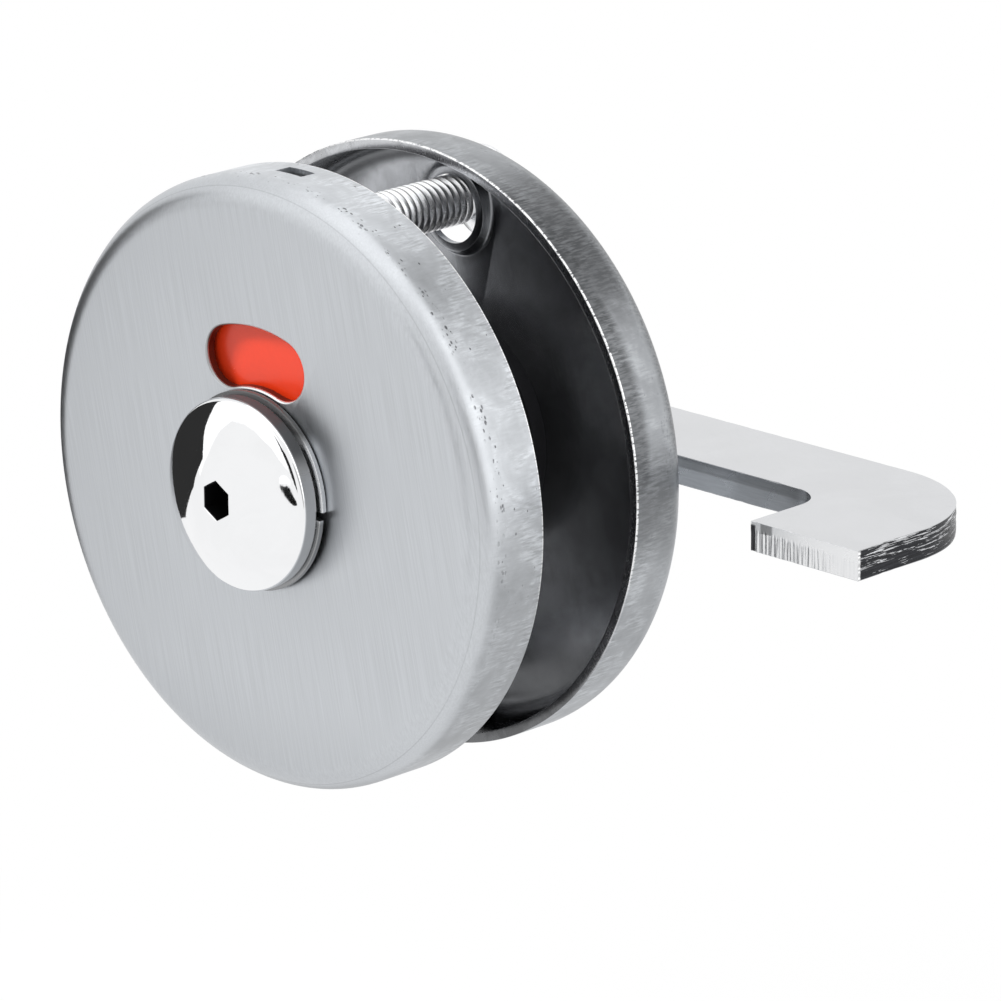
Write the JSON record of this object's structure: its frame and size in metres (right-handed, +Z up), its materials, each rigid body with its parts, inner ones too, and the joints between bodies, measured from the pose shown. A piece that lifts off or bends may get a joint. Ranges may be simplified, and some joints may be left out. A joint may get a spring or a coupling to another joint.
{
  "type": "toilet indicator bolt",
  "caption": "Privacy bolt for a partition door: round steel roses, a swinging L-shaped lever inside, a red and green window and a hex-key release outside.",
  "frame": {"origin": "on the spindle axis, in the plane of the outer rose's rim, which is the outside face of the door", "axes": "+Y along the spindle from the outside to the inside, +Z up, +X the way the lever points when the bolt is engaged"},
  "size_m": [0.1042, 0.0603, 0.072],
  "materials": {
    "rose_steel": "satin brushed stainless steel",
    "plate_steel": "plain steel",
    "bright_steel": "polished stainless steel",
    "zinc_steel": "bright zinc plated",
    "dark_steel": "blackened spring steel",
    "knob_chrome": "mirror polished",
    "red_face": "gloss red",
    "green_face": "gloss green",
    "white_nylon": "moulded",
    "black_nylon": "moulded"
  },
  "bodies": {
    "outer_unit": {"outer_rose": "rose_steel", "base_plate": "dark_steel", "threaded_posts": "zinc_steel", "shank_bush": "white_nylon"},
    "release_unit": {"release_knob": "knob_chrome", "spring_washer": "bright_steel", "indicator_disc": "white_nylon", "red_sector": "red_face", "green_sector": "green_face", "shank_circlip": "dark_steel", "spindle": "plate_steel", "spindle_pin": "dark_steel"},
    "inner_unit": {"inner_rose": "rose_steel", "journal_bush": "black_nylon", "fixing_screws": "zinc_steel"},
    "lever_unit": {"turn_post": "bright_steel", "lever": "bright_steel", "lever_pins": "bright_steel", "stop_washer": "plate_steel", "post_circlip": "dark_steel", "thrust_washer": "black_nylon"}
  },
  "joints": [
    {"name": "rear_slide", "type": "slide", "parent": "outer_unit", "child": "inner_unit", "axis": [0, 1, 0], "range_m": [-0.003, 0.003]},
    {"name": "lever_turn", "type": "hinge", "parent": "inner_unit", "child": "lever_unit", "pos_m": [0, 0.024, 0], "axis": [0, -1, 0], "range_deg": [0, 90]},
    {"name": "spindle_turn", "type": "hinge", "parent": "outer_unit", "child": "release_unit", "pos_m": [0, 0, 0], "axis": [0, -1, 0], "range_deg": [0, 90]}
  ],
  "couplings": [
    {"joint": "spindle_turn", "follows": "lever_turn", "ratio": 1}
  ]
}
